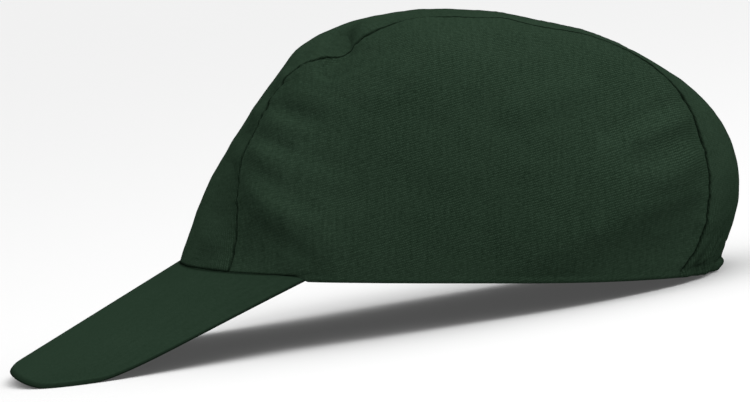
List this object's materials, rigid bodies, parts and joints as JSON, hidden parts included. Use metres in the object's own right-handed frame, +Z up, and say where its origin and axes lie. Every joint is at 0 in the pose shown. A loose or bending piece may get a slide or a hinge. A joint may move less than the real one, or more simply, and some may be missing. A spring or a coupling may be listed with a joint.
{
  "type": "sports cap",
  "caption": "Three-panel cloth cap with an arched peak in front, a rolled base edge and a gathered hem behind, resting nose up on its peak and rear edge.",
  "frame": {"origin": "on the surface that the cap rests on, under the middle of its outer box", "axes": "-Y ahead, the way the peak points; +X to the wearer's left; +Z up. The cap rests nose up by about nine degrees, on the peak's edge and the back of its base"},
  "size_m": [0.1638, 0.285, 0.1149],
  "materials": {
    "crown_cloth": "matte bottle-green twill",
    "peak_cloth": "matte smooth bottle-green cloth over a stiff board",
    "edge_cloth": "matte bottle-green twill, rolled and gathered"
  },
  "bodies": {
    "root": {"centre_panel": "crown_cloth", "side_panel_left": "crown_cloth", "side_panel_right": "crown_cloth", "peak": "peak_cloth", "edge_roll_left": "edge_cloth", "edge_roll_right": "edge_cloth", "rear_hem": "edge_cloth"}
  },
  "joints": []
}
